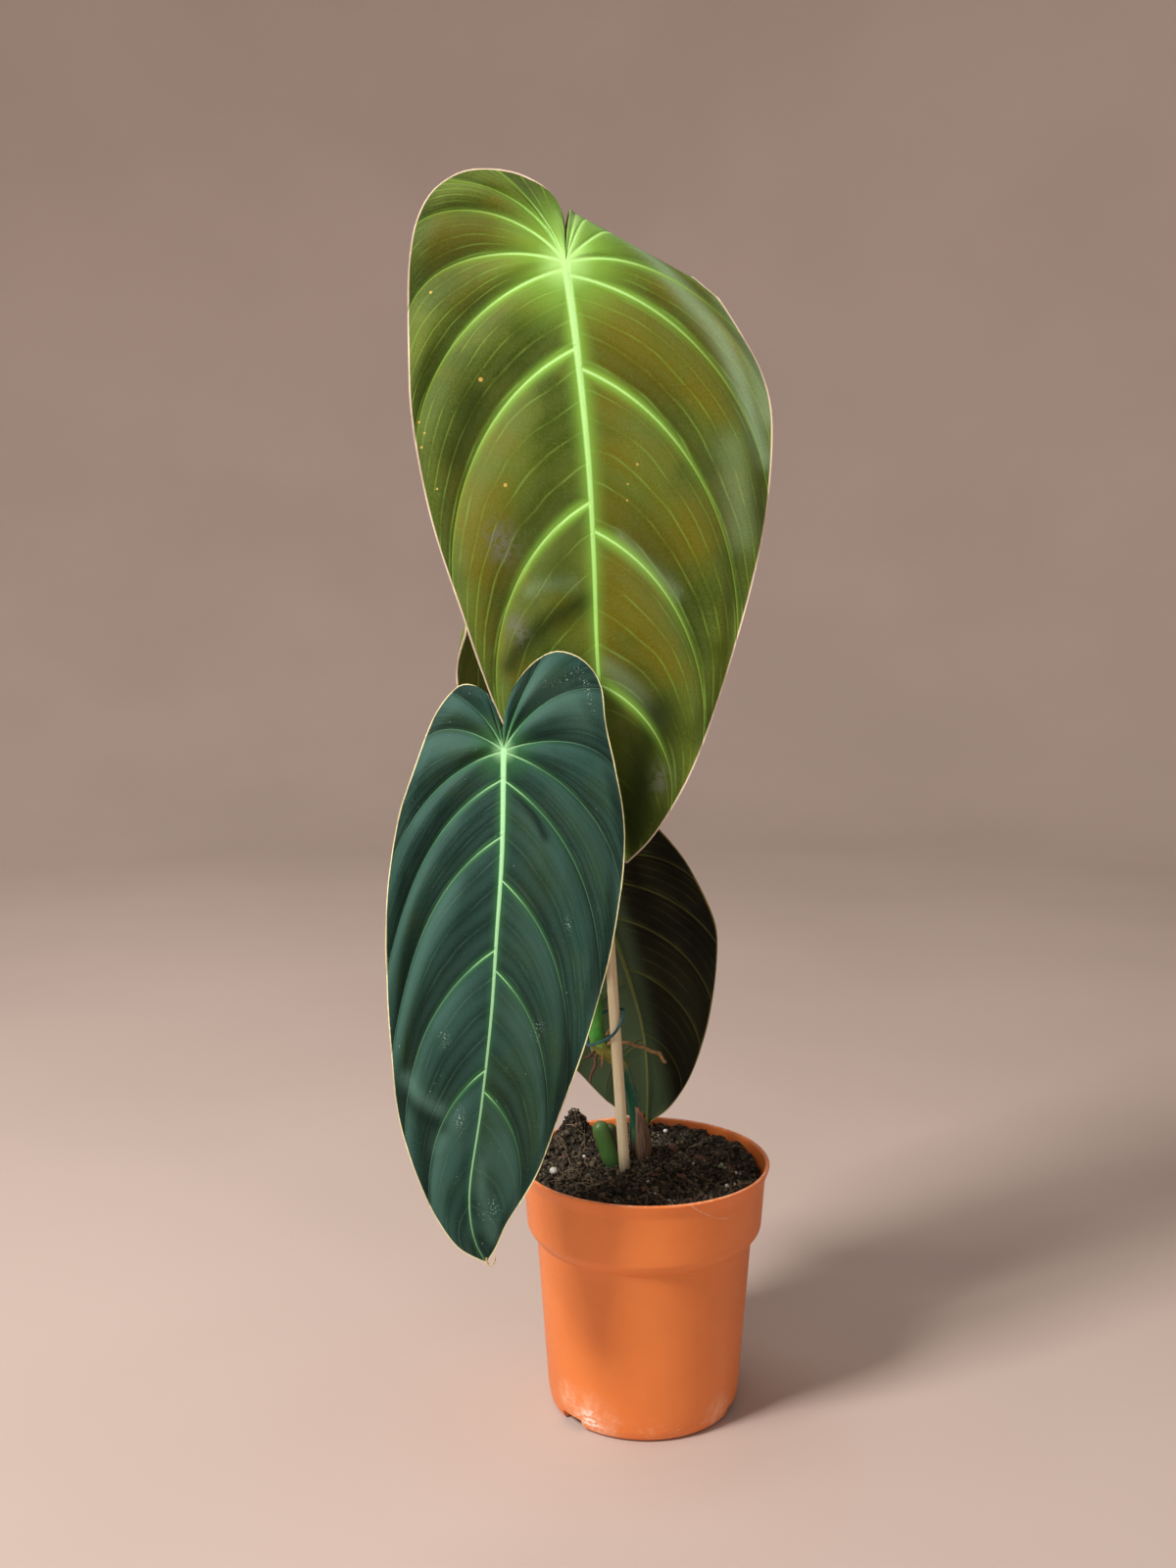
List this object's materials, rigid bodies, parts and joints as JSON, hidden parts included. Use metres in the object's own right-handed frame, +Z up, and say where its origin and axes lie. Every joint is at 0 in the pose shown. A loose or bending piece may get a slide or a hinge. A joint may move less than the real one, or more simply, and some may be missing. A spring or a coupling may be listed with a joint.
{
  "type": "potted black gold philodendron",
  "caption": "Young black gold philodendron with large hanging heart-shaped leaves, tied to a bamboo stake in a small orange nursery pot of soil.",
  "frame": {"origin": "centre of the pot's foot, on the level that it stands on", "axes": "+Z up along the pot's axis; -Y towards the side from which the two big blades are seen; +X to the right from there"},
  "size_m": [0.1731, 0.1505, 0.5752],
  "materials": {
    "pot_plastic": "slightly glossy thin moulded plastic with fine scuffs",
    "potting_mix": null,
    "bamboo": "dry, matt, with fine long grain",
    "coated_wire": "blue-green plastic coating",
    "stem_green": null,
    "shoot_green": null,
    "dry_husk": null,
    "leaf_olive": null,
    "leaf_velvet": null,
    "leaf_dark": null,
    "petiole_green": null
  },
  "bodies": {
    "root": {"pot": "pot_plastic", "soil": "potting_mix", "stake": "bamboo", "tie": "coated_wire", "stem": "stem_green", "basal_shoot": "shoot_green", "dry_sheath": "dry_husk", "leaf_large": "leaf_olive", "leaf_front": "leaf_velvet", "leaf_back_right": "leaf_dark", "leaf_back_left": "leaf_olive", "petiole_large": "petiole_green", "petiole_front": "petiole_green", "petiole_back_right": "petiole_green", "petiole_back_left": "petiole_green"}
  },
  "joints": []
}
